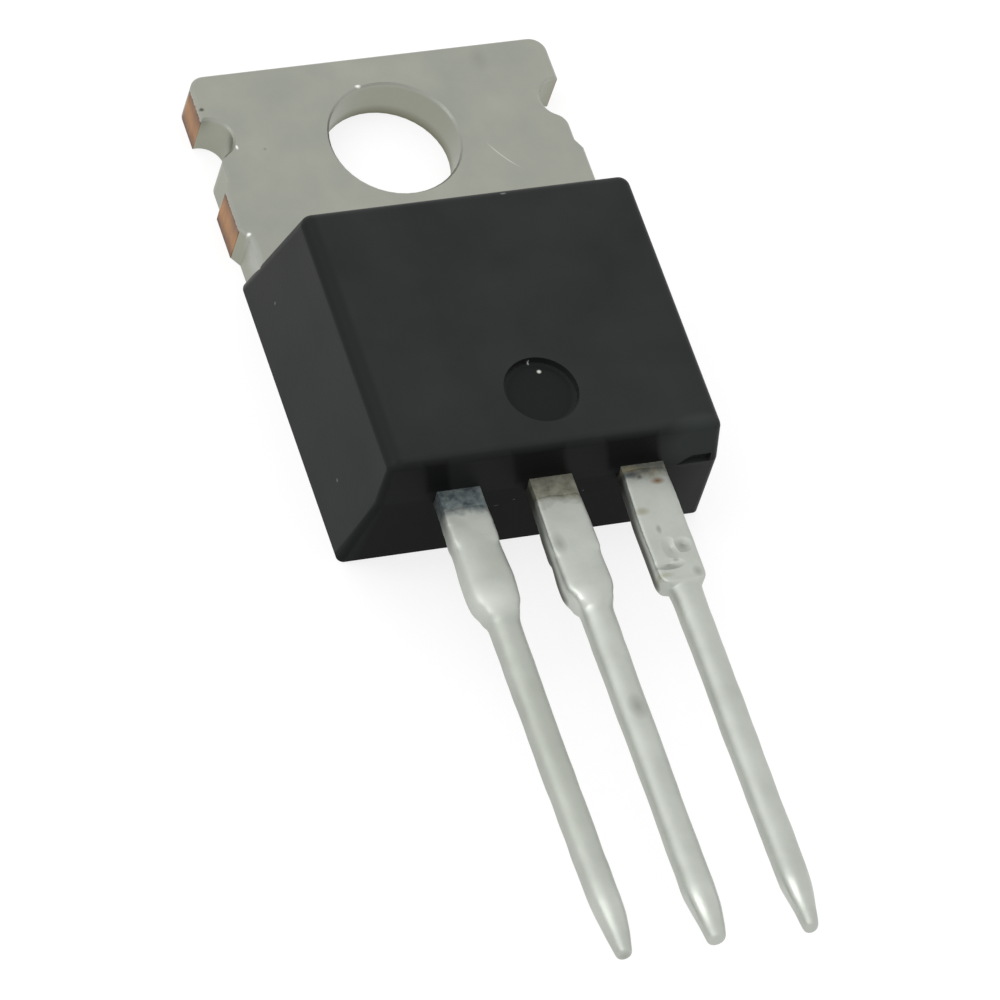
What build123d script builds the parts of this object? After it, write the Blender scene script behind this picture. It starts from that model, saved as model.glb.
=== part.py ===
"""A pnp power transistor in the three-lead, bolt-down plastic outline.

Frame: millimetres, origin at the centre of the mounting hole on the back face
of the tab, +X to the emitter lead, +Y to the free end of the tab and +Z out of
the front face. The part lies on the back of its tab, with the leads along -Y.
"""
from build123d import *
import os
from math import radians, tan

os.makedirs("parts", exist_ok=True)

# ---------------------------------------------------------------- leadframe, thick strip
tab_thickness = 1.30
tab_width = 10.20             # across the sheared lands
tab_end = 2.74                # from the hole's centre to the free end
tab_corner_radius = 0.45
hole_diameter = 3.60
punch_break = 0.06            # the punch pulls the front edges down by this much
upper_land_length = 1.42      # where the upper tie bars were sheared off
lower_land_start = -1.02
lower_land_length = 1.27      # where the lower tie bars were sheared off
blank_inset = 0.16            # between the notch and the lower land
root_inset = 0.20             # between the lower land and the moulding
land_ramp = 0.30
notch_radius = 0.62
notch_depth = 0.70            # from the land's face to the bottom of the notch
notch_blend = 0.45

# the part of the thick strip that the moulding covers
pad_side_wall = 0.76          # epoxy beside the pad, at the back of the moulding
pad_end_wall = 1.45           # epoxy between the pad's end and the lead end
pad_neck = 0.58               # how far the tab's full width reaches under the moulding
pad_shoulder = 0.45           # length of the slope from that width to the pad's
pad_undercut = 0.40           # the back is this much narrower, on each side
pad_ledge = 0.55              # height of that undercut

# ---------------------------------------------------------------- leadframe, thin strip
lead_thickness = 0.50
lead_lift = 1.42              # from the tab's front face up to the leads
lead_pitch = 2.54
lead_wide_width = 1.18
lead_narrow_width = 0.74
lead_tip_width = 0.66
lead_point_width = 0.38
lead_point_thickness = 0.40
lead_nose_length = 0.13       # the blunt nose at the end of the point
lead_wide_length = 3.50       # from the moulding to the shoulder
lead_length = 13.94           # from the moulding to the tip
lead_point_length = 1.35
shoulder_drop = 0.14          # the shoulders slope by this much
dip_round = 0.15              # the solder dip leaves the slim part's edges this round
dip_run_in = 0.60             # and they become so over this length
lead_lean = {"base": 0.06, "collector": 0.0, "emitter": 0.0}

form_run = 0.55               # flat run of the collector lead inside the moulding
form_advance = 0.95           # how far the step travels while it drops to the pad
form_radius = 0.35
post_length = 1.75            # bonding post at the inner end of an outer lead
post_gap = 0.75               # epoxy between the collector lead and each post
post_side_wall = 0.92         # epoxy outside each post
post_inset = 0.55             # from the lead end of the moulding to the post
post_hole = 0.80              # the epoxy keys through this hole
post_corner = 0.25

# ---------------------------------------------------------------- moulding
front_cover = 1.15            # epoxy over the leads
body_width = 10.12            # at the back, where it is widest
body_length = 9.02            # at the back
body_from_hole = 3.10         # from the hole's centre to the moulding, at the back
side_draft = 6.2
top_draft = 13.5
lower_draft = 6.0             # lead end, below the parting line
upper_draft = 9.5             # lead end, above the parting line
tab_corner_round = 0.32
lead_corner_round = 0.18
rim_radius = 0.28
mark_diameter = 2.00          # the ejector pin's mark on the front
mark_depth = 0.22
mark_x = 0.10
mark_from_bottom = 1.74
gate_depth = 0.16             # where the gate broke away, beside the emitter lead
gate_height = 0.30
gate_width = 0.95
gate_slope = 0.40
gate_margin = 0.25

# ---------------------------------------------------------------- chip and bonds
die_size = 3.40
die_thickness = 0.28
die_from_top = 4.00           # from the tab end of the moulding to the chip's centre
solder_thickness = 0.06
solder_margin = 0.18
wire_diameter = {"base": 0.25, "emitter": 0.38}
wire_clear = 0.34             # height of the loop over the posts
wire_crest = 0.62             # where the loop passes that height, as a share of its span
foot_squash = 0.50            # a bond foot's height, width and length, in wire diameters
foot_widen = 1.5
foot_stretch = 2.2
die_bond_x = {"base": -0.95, "emitter": 0.80}
die_bond_y = {"base": 0.55, "emitter": -0.30}

# ---------------------------------------------------------------- worked-out places
half_tab = tab_width / 2
blank_half = half_tab - blank_inset
root_half = half_tab - root_inset
lead_underside = tab_thickness + lead_lift
lead_top = lead_underside + lead_thickness
parting_height = lead_underside + lead_thickness / 2
body_height = lead_top + front_cover
body_top = -body_from_hole
body_bottom = body_top - body_length
body_nose = body_bottom - parting_height * tan(radians(lower_draft))
front_bottom = body_nose + (body_height - parting_height) * tan(radians(upper_draft))
front_top = body_top - body_height * tan(radians(top_draft))
front_half = body_width / 2 - body_height * tan(radians(side_draft))
pad_width = body_width - 2 * pad_side_wall
pad_end = body_nose + pad_end_wall
shoulder_y = body_nose - lead_wide_length
tip_y = body_nose - lead_length
die_y = body_top - die_from_top
die_base = tab_thickness + solder_thickness
die_top = die_base + die_thickness
post_bottom = body_nose + post_inset
post_top = post_bottom + post_length
post_inner = lead_wide_width / 2 + post_gap
post_outer = body_width / 2 - lead_top * tan(radians(side_draft)) - post_side_wall
post_middle = (post_inner + post_outer) / 2
big = 40.0


def lead_blank(centre_x, start_y):
    """Plan outline of one lead's wide part, from start_y inside the moulding to the shoulders."""
    wide = lead_wide_width / 2
    narrow = lead_narrow_width / 2
    with BuildSketch() as blank:
        with BuildLine():
            Polyline(
                (centre_x - wide, start_y),
                (centre_x - wide, shoulder_y),
                (centre_x - narrow, shoulder_y - shoulder_drop),
                (centre_x + narrow, shoulder_y - shoulder_drop),
                (centre_x + wide, shoulder_y),
                (centre_x + wide, start_y),
                close=True,
            )
        make_face()
        shoulders = blank.vertices().filter_by(lambda v: abs(v.Y - shoulder_y) < 0.001)
        fillet(shoulders, shoulder_drop)
    return blank.sketch


def slim_part(centre_x, lean):
    """One lead below its shoulders: square at first, rounded by the dip, then pointed."""
    sections = (
        (0, shoulder_y, lead_narrow_width, lead_thickness, dip_round / 4),
        (0, shoulder_y - dip_run_in, lead_narrow_width, lead_thickness, dip_round),
        (lean, tip_y + lead_point_length, lead_tip_width, lead_thickness, dip_round),
        (lean, tip_y + lead_nose_length, lead_point_width, lead_point_thickness, dip_round),
        (lean, tip_y, lead_point_width / 2, lead_point_thickness / 2, dip_round / 2),
    )
    with BuildPart() as slim:
        for aside, y, width, thickness, corner in sections:
            middle = (centre_x + aside, y, parting_height)
            with BuildSketch(Plane(origin=middle, x_dir=(1, 0, 0), z_dir=(0, -1, 0))):
                RectangleRounded(width, thickness, corner)
        loft(ruled=True)
    return slim.part


# ================================================================ collector tab
# One piece of a dual-gauge copper strip: the thick tab with its mounting hole,
# the pad that carries the chip, and the thin centre lead, formed up off the pad.
slim_collector_lead = slim_part(0, lead_lean["collector"])
with BuildPart() as collector_tab:
    # side view of the thin lead: flat outside, one formed step, then the pad's level
    step_top = body_nose + form_run
    step_foot = step_top + form_advance
    pad_strip_middle = tab_thickness - lead_thickness / 2
    with BuildSketch(Plane.YZ):
        with BuildLine() as run:
            FilletPolyline(
                (shoulder_y - shoulder_drop, parting_height),
                (step_top, parting_height),
                (step_foot, pad_strip_middle),
                (step_foot + form_run, pad_strip_middle),
                radius=form_radius,
            )
            offset(amount=lead_thickness / 2, side=Side.BOTH, kind=Kind.TANGENT)
        make_face()
    extrude(amount=big, both=True)
    extrude(
        lead_blank(0, step_foot + form_run),
        amount=big,
        mode=Mode.INTERSECT,
    )
    add(slim_collector_lead)
    # plan of the thick strip
    notch_y = tab_end - upper_land_length - notch_radius
    lower_land_end = lower_land_start - lower_land_length
    neck_y = body_top - pad_neck
    pad_start = neck_y - pad_shoulder
    with BuildSketch() as tab_plan:
        with BuildLine():
            Polyline(
                (0, tab_end),
                (half_tab, tab_end),
                (half_tab, notch_y),
                (blank_half, notch_y),
                (blank_half, lower_land_start + land_ramp),
                (half_tab, lower_land_start),
                (half_tab, lower_land_end),
                (root_half, lower_land_end - land_ramp),
                (root_half, neck_y),
                (pad_width / 2, pad_start),
                (pad_width / 2, pad_end),
                (0, pad_end),
            )
            mirror(about=Plane.YZ)
        make_face()
        notch_x = half_tab - notch_depth + notch_radius
        with Locations((-notch_x, notch_y), (notch_x, notch_y)):
            Circle(notch_radius, mode=Mode.SUBTRACT)
        ends = tab_plan.vertices().filter_by(lambda v: abs(v.Y - tab_end) < 0.001)
        fillet(ends, tab_corner_radius)
        throats = tab_plan.vertices().filter_by(
            lambda v: abs(abs(v.X) - blank_half) < 0.001 and abs(v.Y - notch_y) < notch_radius
        )
        fillet(throats, notch_blend)
    extrude(amount=tab_thickness)
    Hole(hole_diameter / 2)
    # the undercut that keys the pad into the moulding
    ledge_x = (pad_width - pad_undercut) / 2
    with BuildSketch():
        with Locations((-ledge_x, (pad_start + pad_end) / 2), (ledge_x, (pad_start + pad_end) / 2)):
            Rectangle(pad_undercut, pad_start - pad_end)
    extrude(amount=pad_ledge, mode=Mode.SUBTRACT)
    # the punch breaks every front edge that the moulding leaves bare
    front_edges = (
        collector_tab.faces()
        .filter_by(Plane.XY)
        .filter_by(lambda f: abs(f.center().Z - tab_thickness) < 0.001)
        .sort_by(SortBy.AREA)[-1]
        .edges()
        .filter_by(lambda e: e.center().Y > neck_y)
    )
    chamfer(front_edges, punch_break)
collector_tab.part.label = "collector_tab"
export_step(collector_tab.part, "parts/collector_tab.step")

# ================================================================ outer leads
# Stamped from the thin strip. Inside the moulding each one widens to a bonding
# post, with a hole that the epoxy grips.


def outer_lead_plan(side):
    """Plan of an outer lead and its post; side is -1 for the base, 1 for the emitter."""
    centre_x = side * lead_pitch
    with BuildSketch() as plan:
        add(lead_blank(centre_x, post_bottom + post_corner))
        with Locations((side * post_middle, (post_bottom + post_top) / 2)):
            RectangleRounded(post_outer - post_inner, post_length, post_corner)
            Circle(post_hole / 2, mode=Mode.SUBTRACT)
    return plan.sketch


slim_base_lead = slim_part(-lead_pitch, lead_lean["base"])
with BuildPart() as base_lead:
    with BuildSketch(Plane.XY.offset(lead_underside)):
        add(outer_lead_plan(-1))
    extrude(amount=lead_thickness)
    add(slim_base_lead)
base_lead.part.label = "base_lead"
export_step(base_lead.part, "parts/base_lead.step")

slim_emitter_lead = slim_part(lead_pitch, lead_lean["emitter"])
with BuildPart() as emitter_lead:
    with BuildSketch(Plane.XY.offset(lead_underside)):
        add(outer_lead_plan(1))
    extrude(amount=lead_thickness)
    add(slim_emitter_lead)
emitter_lead.part.label = "emitter_lead"
export_step(emitter_lead.part, "parts/emitter_lead.step")

# ================================================================ chip
with BuildPart() as die_solder:
    with BuildSketch(Plane.XY.offset(tab_thickness)):
        with Locations((0, die_y)):
            Rectangle(die_size + 2 * solder_margin, die_size + 2 * solder_margin)
    extrude(amount=solder_thickness)
die_solder.part.label = "die_solder"
export_step(die_solder.part, "parts/die_solder.step")

with BuildPart() as silicon_die:
    with BuildSketch(Plane.XY.offset(die_base)):
        with Locations((0, die_y)):
            Rectangle(die_size, die_size)
    extrude(amount=die_thickness)
silicon_die.part.label = "silicon_die"
export_step(silicon_die.part, "parts/silicon_die.step")

# ================================================================ bond wires
# Each aluminium wire is wedged flat on the chip, arches over and is wedged flat
# on its post. The arch lies in the upright plane through both bonds.


def looped_wire(name, side):
    """One wire from the chip to its post, with a squashed foot at each end."""
    radius = wire_diameter[name] / 2
    foot_length = foot_stretch * wire_diameter[name]
    foot_width = foot_widen * wire_diameter[name]
    on_chip = Vector(die_bond_x[name], die_y + die_bond_y[name], die_top)
    on_post = Vector(side * post_middle, post_top - foot_width, lead_top)
    flat = Vector(on_post.X - on_chip.X, on_post.Y - on_chip.Y, 0)
    rise = on_post.Z - on_chip.Z
    upright = Plane(origin=on_chip, x_dir=flat, z_dir=flat.cross(Vector(0, 0, 1)))
    with BuildPart() as wire:
        with BuildLine(upright):
            arch = ThreePointArc(
                (0, radius),
                (flat.length * wire_crest, rise + wire_clear + radius),
                (flat.length, rise + radius),
            )
        with BuildSketch(Plane(origin=arch @ 0, z_dir=arch % 0)):
            Circle(radius)
        sweep()
        for bond in (on_chip, on_post):
            with BuildSketch(Plane(origin=bond, x_dir=flat, z_dir=(0, 0, 1))):
                SlotOverall(foot_length, foot_width)
            extrude(amount=wire_diameter[name] * foot_squash)
    return wire.part


base_loop = looped_wire("base", -1)
with BuildPart() as base_bond_wire:
    add(base_loop)
base_bond_wire.part.label = "base_bond_wire"
export_step(base_bond_wire.part, "parts/base_bond_wire.step")

emitter_loop = looped_wire("emitter", 1)
with BuildPart() as emitter_bond_wire:
    add(emitter_loop)
emitter_bond_wire.part.label = "emitter_bond_wire"
export_step(emitter_bond_wire.part, "parts/emitter_bond_wire.step")

# ================================================================ moulding
# Black epoxy, moulded round everything above in a two-part tool. Every side has
# draft, and the lead end swells to the parting line at the middle of the leads.
moulded_in = (
    collector_tab,
    base_lead,
    emitter_lead,
    die_solder,
    silicon_die,
    base_bond_wire,
    emitter_bond_wire,
)
with BuildPart() as moulded_body:
    with BuildSketch(Plane.YZ):
        with BuildLine():
            Polyline(
                (body_top, 0),
                (front_top, body_height),
                (front_bottom, body_height),
                (body_nose, parting_height),
                (body_bottom, 0),
                close=True,
            )
        make_face()
    extrude(amount=big, both=True)
    with BuildSketch(Plane.XZ):
        with BuildLine():
            Polyline(
                (-body_width / 2, 0),
                (-front_half, body_height),
                (front_half, body_height),
                (body_width / 2, 0),
                close=True,
            )
        make_face()
    extrude(amount=big, both=True, mode=Mode.INTERSECT)
    uprights = moulded_body.edges().filter_by(lambda e: abs(e.tangent_at(0.5).Z) > 0.9)
    fillet(uprights.group_by(Axis.Y)[-1], tab_corner_round)
    rim = moulded_body.faces().sort_by(Axis.Z)[-1].edges()
    fillet(rim, rim_radius)
    uprights = moulded_body.edges().filter_by(
        lambda e: abs(e.tangent_at(0.5).Z) > 0.9 and e.center().Y < front_bottom + rim_radius
    )
    fillet(uprights, lead_corner_round)
    # ejector mark
    mark_y = front_bottom + mark_from_bottom
    with BuildSketch(Plane.XY.offset(body_height - mark_depth)):
        with Locations((mark_x, mark_y)):
            Circle(mark_diameter / 2)
    extrude(amount=big, mode=Mode.SUBTRACT)
    # broken gate, in the upper half of the tool beside the emitter lead
    gate_right = body_width / 2 - parting_height * tan(radians(side_draft)) - gate_margin
    with BuildSketch(Plane.XZ.offset(-body_nose)):
        with BuildLine():
            Polyline(
                (gate_right, parting_height),
                (gate_right, parting_height + gate_height),
                (gate_right - gate_width + gate_slope, parting_height + gate_height),
                (gate_right - gate_width, parting_height),
                close=True,
            )
        make_face()
    extrude(amount=-gate_depth, mode=Mode.SUBTRACT)
    # everything inside is moulded in, face to face
    for piece in moulded_in:
        add(piece.part, mode=Mode.SUBTRACT)
moulded_body.part.label = "moulded_body"
export_step(moulded_body.part, "parts/moulded_body.step")

for piece in (*moulded_in, moulded_body):
    print(f"{piece.part.label:20s} {piece.part.volume:9.3f} mm3")
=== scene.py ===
# %% [markdown]
# # A pnp power transistor, dressed
#
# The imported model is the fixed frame: a copper leadframe plated with nickel, a black
# epoxy moulding, and the chip with its wires sealed inside. This script adds what the
# solids can't hold: the finish of each surface, the solder that the leads were dipped in,
# a pale floor, soft lamps and a camera.

# %% Load the frame
from math import cos, pi, radians, sin

import bmesh
import bpy
from mathutils import Matrix, Vector


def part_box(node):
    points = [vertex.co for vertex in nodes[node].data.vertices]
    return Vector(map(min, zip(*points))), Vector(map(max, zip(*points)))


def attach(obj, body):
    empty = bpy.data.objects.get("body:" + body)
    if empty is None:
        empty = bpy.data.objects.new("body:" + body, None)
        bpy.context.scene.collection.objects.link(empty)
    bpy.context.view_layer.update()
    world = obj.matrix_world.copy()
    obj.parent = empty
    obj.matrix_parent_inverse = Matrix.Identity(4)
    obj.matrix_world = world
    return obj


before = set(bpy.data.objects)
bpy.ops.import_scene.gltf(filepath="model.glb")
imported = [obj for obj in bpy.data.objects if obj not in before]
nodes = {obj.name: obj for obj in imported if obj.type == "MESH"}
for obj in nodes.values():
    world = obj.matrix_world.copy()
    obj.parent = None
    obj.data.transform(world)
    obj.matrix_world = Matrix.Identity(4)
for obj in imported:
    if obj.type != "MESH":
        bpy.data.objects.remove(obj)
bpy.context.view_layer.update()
bpy.ops.object.select_all(action="DESELECT")
print("nodes:", sorted(nodes))

# %% [markdown]
# ## Units and places
#
# Blender works in metres, and a part this small is easier to think about in millimetres,
# so one function turns the one into the other. The main places are read from the frame,
# so that they follow the model.

# %% Millimetres and the main places
MM = 0.001


def mm(*values):
    """Millimetres as metres: one number, or a vector of several."""
    scaled = [value * MM for value in values]
    return scaled[0] if len(scaled) == 1 else Vector(scaled)


body_low, body_high = (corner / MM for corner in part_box("moulded_body"))
lead_low, lead_high = (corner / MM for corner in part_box("base_lead"))
tab_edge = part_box("collector_tab")[1].x / MM    # half the tab's width
body_nose = body_low.y          # where the leads come out of the moulding
lead_tip = lead_low.y
lead_top = lead_high.z
parting = (lead_low.z + lead_high.z) / 2    # the moulding parts at the middle of the leads
front_height = body_high.z
PITCH = 2.54                    # from lead to lead, with the collector's at x 0
print(f"leads come out at y {body_nose:.2f} mm and end at {lead_tip:.2f} mm")
print(f"the moulding parts {parting:.2f} mm up and is {front_height:.2f} mm high")

# %% [markdown]
# ## Colours and nodes
#
# Colours are picked as hex values, as on a screen, but shaders mix light, so each value is
# turned to linear first. A second helper adds one shader node, sets its options and fills
# its sockets: a socket takes a plain value, another node's output, or a node, which then
# stands for its first output.

# %% Helpers for colours and nodes


def linear(hex_colour):
    """An sRGB hex colour as the linear RGBA that a shader takes."""
    channels = [int(hex_colour[i:i + 2], 16) / 255 for i in (1, 3, 5)]
    curve = [c / 12.92 if c <= 0.04045 else ((c + 0.055) / 1.055) ** 2.4 for c in channels]
    return (*curve, 1.0)


def add_node(tree, kind, sockets=None, **settings):
    """A new node of that kind, with its settings and its sockets' values or links."""
    node = tree.nodes.new(kind)
    for name, value in settings.items():
        setattr(node, name, value)
    for name, value in (sockets or {}).items():
        socket = node.inputs[name] if isinstance(name, int) else next(
            s for s in node.inputs if s.name == name and s.enabled)
        if isinstance(value, bpy.types.Node):
            value = next(s for s in value.outputs if s.enabled)
        if isinstance(value, bpy.types.NodeSocket):
            tree.links.new(value, socket)
        else:
            socket.default_value = value
    return node


print("mid grey #808080 is", round(linear("#808080")[0], 3), "as light")

# %% [markdown]
# ### A new material
#
# Positions reach a material in metres, and multiplied by a thousand they are millimetres, so
# every pattern below can be sized in millimetres too. They are Object coordinates: they stay
# with the piece, and they agree from piece to piece, because all objects share one origin.

# %% Helpers for materials


def new_material(name):
    """An empty node material, its tree, and the positions on it in millimetres."""
    material = bpy.data.materials.new(name)
    material.use_nodes = True
    tree = material.node_tree
    tree.nodes.clear()
    place = add_node(tree, "ShaderNodeTexCoord").outputs["Object"]
    place = add_node(tree, "ShaderNodeVectorMath", {0: place, "Scale": 1 / MM}, operation="SCALE")
    return material, tree, place


def dress(name, material):
    """Give one of the frame's nodes its material."""
    nodes[name].data.materials.clear()
    nodes[name].data.materials.append(material)


print("made: new_material, dress")

# %% [markdown]
# ## The floor
#
# A small part shown in a catalogue lies on pale paper that seems to have no edge. A plane
# that is many times as large as the part is enough for it. It lies a hair under the part,
# because two faces in one plane would flicker through each other.

# %% Floor
FLOOR_SIZE = 900
MIDDLE = -11                    # how far along the part its middle is
JUST_UNDER = -0.02
bpy.ops.mesh.primitive_plane_add(size=mm(FLOOR_SIZE), location=mm(0, MIDDLE, JUST_UNDER))
floor = bpy.context.object
floor.name = "studio_floor"
bpy.ops.object.transform_apply(location=True)
print("floor", FLOOR_SIZE, "mm square")

# %% [markdown]
# ### The paper
#
# The paper's diffuse colour catches the part's soft shadow, and a glow that only the camera,
# mirror-like and see-through rays see lifts it to white. Light Path tells these rays from
# the others. Diffuse rays don't see the glow, so the paper throws no extra light on the part.

# %% Paper
FLOOR_GLOW = 0.79               # with the light that falls on it, this adds up to white


def seen_rays(tree):
    """A mask of camera, mirror-like and see-through rays."""
    ray = add_node(tree, "ShaderNodeLightPath").outputs
    seen = add_node(tree, "ShaderNodeMath", {
        0: ray["Is Camera Ray"], 1: ray["Is Glossy Ray"]}, operation="MAXIMUM")
    return add_node(tree, "ShaderNodeMath", {
        0: seen, 1: ray["Is Transmission Ray"]}, operation="MAXIMUM")


paper, tree, place = new_material("studio_paper")
glow = add_node(tree, "ShaderNodeMath", {0: seen_rays(tree), 1: FLOOR_GLOW}, operation="MULTIPLY")
shader = add_node(tree, "ShaderNodeBsdfPrincipled", {
    "Base Color": linear("#8C8C8C"), "Roughness": 0.9, "Specular IOR Level": 0.0,
    "Emission Color": (1, 1, 1, 1), "Emission Strength": glow})
add_node(tree, "ShaderNodeOutputMaterial", {"Surface": shader})
floor.data.materials.append(paper)
print("paper with a glow of", FLOOR_GLOW)

# %% [markdown]
# ## The light
#
# Metal shows what stands around it, so a bright, even surround matters more here than lamps
# do. The world is that surround: white where it is seen or mirrored, and for soft light
# stronger from behind and above the tab, which gives the sloped sides of the moulding their
# tones. A large, dim softbox behind the part gives the round solder its broad sheen, and a
# narrow, bright one on the left gives the sparks where the solder turns down to the tips.

# %% World
BRIGHT_SIDE = (-0.05, 0.50, 0.85)
DIMMEST, BRIGHTEST = 0.15, 1.25
world = bpy.data.worlds.new("studio")
bpy.context.scene.world = world
world.use_nodes = True
tree = world.node_tree
tree.nodes.clear()
way = add_node(tree, "ShaderNodeTexCoord").outputs["Generated"]
side = add_node(tree, "ShaderNodeVectorMath", {0: way, 1: BRIGHT_SIDE}, operation="DOT_PRODUCT")
soft = add_node(tree, "ShaderNodeMapRange", {
    "Value": side, "From Min": -0.3, "From Max": 1.0, "To Min": DIMMEST, "To Max": BRIGHTEST})
strength = add_node(tree, "ShaderNodeMix", {
    "Factor": seen_rays(tree), "A": soft, "B": 1.0}, data_type="FLOAT")
back = add_node(tree, "ShaderNodeBackground", {"Color": (1, 1, 1, 1), "Strength": strength})
add_node(tree, "ShaderNodeOutputWorld", {"Surface": back})
print("world from", DIMMEST, "to", BRIGHTEST)

# %% [markdown]
# ### The softboxes
#
# An Area lamp is a softbox: the larger it is, the softer its edge in the metal. Its energy
# grows with its area, so it is worked out from the brightness that its face should have.

# %% Lamps
LAMP_DISTANCE = 500


def direction(azimuth, elevation):
    """The way from the part to something seen at this azimuth and elevation, in degrees."""
    a, e = radians(azimuth), radians(elevation)
    return Vector((sin(a) * cos(e), -cos(a) * cos(e), sin(e)))


def soft_lamp(name, azimuth, elevation, width, height, radiance):
    """A softbox aimed at the part; a radiance of 1 shows as plain white."""
    away = direction(azimuth, elevation)
    data = bpy.data.lights.new(name, "AREA")
    data.shape = "RECTANGLE"
    data.size, data.size_y = mm(width), mm(height)
    data.energy = radiance * pi * data.size * data.size_y
    lamp = bpy.data.objects.new(name, data)
    place = Matrix.Translation(mm(0, MIDDLE, 2) + away * mm(LAMP_DISTANCE))
    lamp.matrix_world = place @ away.to_track_quat("Z", "Y").to_matrix().to_4x4()
    bpy.context.scene.collection.objects.link(lamp)
    print(name, "of", width, "x", height, "mm,", LAMP_DISTANCE, "mm away")


soft_lamp("broad_lamp", 233, 64, 400, 400, 0.25)
soft_lamp("spark_lamp", 257, 57, 150, 400, 2.2)

# %% [markdown]
# ## The camera
#
# The camera is set as a person would say it: which point it aims at, how far away it is,
# from which side and how high, and how far it is rolled. A long lens keeps the part's
# parallel edges nearly parallel, as a drawing of a small part does.

# %% Camera
AIM = mm(-0.167, -10.908, 0)
SIDE, HEIGHT, ROLL = -34.974, 53.052, 21.285
DISTANCE = 200.704
camera_data = bpy.data.cameras.new("camera")
camera_data.lens = 276.61
camera_data.sensor_width = 36
camera_data.clip_start = 0.01
camera = bpy.data.objects.new("camera", camera_data)
bpy.context.scene.collection.objects.link(camera)
away = direction(SIDE, HEIGHT)
turn = away.to_track_quat("Z", "Y").to_matrix().to_4x4() @ Matrix.Rotation(radians(ROLL), 4, "Z")
camera.matrix_world = Matrix.Translation(AIM + away * mm(DISTANCE)) @ turn
bpy.context.scene.camera = camera
print("camera", DISTANCE, "mm away")

# %% [markdown]
# ## Spots
#
# Real finishes carry small marks: a dull fingerprint, a nick, a speck of dust. Each is a
# soft blot at a known place, so one helper measures how far a point is from the blot's
# middle, in blot sizes, and turns that into a mask that is full inside and fades to 0. Marks
# of one kind are kept in a list, each with its middle, its half sizes and, where it isn't
# half soft, how soft it is.

# %% Helpers for spots


def spot(tree, place, middle, size, soft=0.5, strength=1.0):
    """A mask with its full strength near `middle`, which fades out about `size` mm from it."""
    away = add_node(tree, "ShaderNodeVectorMath", {0: place, 1: middle}, operation="SUBTRACT")
    away = add_node(tree, "ShaderNodeVectorMath", {0: away, 1: size}, operation="DIVIDE")
    away = add_node(tree, "ShaderNodeVectorMath", {0: away}, operation="LENGTH")
    return add_node(tree, "ShaderNodeMapRange", {
        "Value": away.outputs["Value"], "From Min": 1 - soft, "From Max": 1 + soft,
        "To Min": strength, "To Max": 0.0})


def any_of(tree, masks):
    """The strongest of several masks."""
    result = masks[0]
    for mask in masks[1:]:
        result = add_node(tree, "ShaderNodeMath", {0: result, 1: mask}, operation="MAXIMUM")
    return result


def spots(tree, place, marks, strength=1.0):
    """One mask for a list of marks."""
    return any_of(tree, [spot(tree, place, *mark, strength=strength) for mark in marks])


print("made: spot, any_of, spots")

# %% [markdown]
# ### Layers
#
# Masks multiplied with each other leave only what lies in all of them, such as the scratch
# that is on a circle and near a point. Once there are masks, a finish is put together as a
# painter would do it: the clean colour first, and each mark over what is already there.

# %% Helpers for layers


def all_of(tree, masks):
    """The product of several masks."""
    result = masks[0]
    for mask in masks[1:]:
        result = add_node(tree, "ShaderNodeMath", {0: result, 1: mask}, operation="MULTIPLY")
    return result


def painted(tree, colour, layers):
    """The colour under its layers, each a mask and the hex colour that it lets through."""
    for mask, tint in layers:
        colour = add_node(tree, "ShaderNodeMix", {
            "Factor": mask, "A": colour, "B": linear(tint)}, data_type="RGBA")
    return colour


print("made: all_of, painted")

# %% [markdown]
# ## Stained roots
#
# Where the leads leave the moulding they are not quite clean. Resin bleeds on to the plating
# when the part is moulded, it is scorched when the leads are dipped, and the solder stops
# just short of it. Each lead has its own stain: blue-black, brown, and on the third a pale
# straw colour. The plating and the solder both need it, so functions add it to either. The
# first one makes the mask: how far the stain reaches on each lead, made ragged by noise.

# %% Reach of the stains
BASE_REACH, COLLECTOR_REACH, EMITTER_REACH = 0.62, 0.70, 0.30
root_start = body_nose + 0.35   # just inside the moulding's sloped end


def outside_moulding(tree, along):
    """A mask of what lies in front of the moulding, or just inside it."""
    return add_node(tree, "ShaderNodeMath", {0: along, 1: body_nose + 0.5}, operation="LESS_THAN")


def root_stain(tree, along, left, right, ragged):
    """A mask over the root of each lead, with a ragged end."""
    reach = add_node(tree, "ShaderNodeMix", {
        "Factor": left, "A": COLLECTOR_REACH, "B": BASE_REACH}, data_type="FLOAT")
    reach = add_node(tree, "ShaderNodeMix", {
        "Factor": right, "A": reach, "B": EMITTER_REACH}, data_type="FLOAT")
    reach = add_node(tree, "ShaderNodeMath", {0: ragged, 1: 0.7, 2: reach}, operation="MULTIPLY_ADD")
    away = add_node(tree, "ShaderNodeMath", {0: root_start, 1: along}, operation="SUBTRACT")
    over = add_node(tree, "ShaderNodeMath", {0: reach, 1: away}, operation="SUBTRACT")
    mask = add_node(tree, "ShaderNodeMapRange", {"Value": over, "From Min": -0.16, "From Max": 0.16})
    return all_of(tree, (mask, outside_moulding(tree, along)))


print("stains reach about", BASE_REACH, COLLECTOR_REACH, EMITTER_REACH, "mm out of the moulding")

# %% [markdown]
# ### Painted shade on the flanks
#
# The left flank of a lead is a cut edge. Its lower part is painted darker, as shade: dark at
# the moulding and fading out after one to three millimetres, and paler on the first lead. A
# Wrap gives the place across a lead, whichever lead it is.

# %% Painted shade on the flanks
FLANK_TOP, FLANK_FULL = 0.09, 0.25


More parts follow.
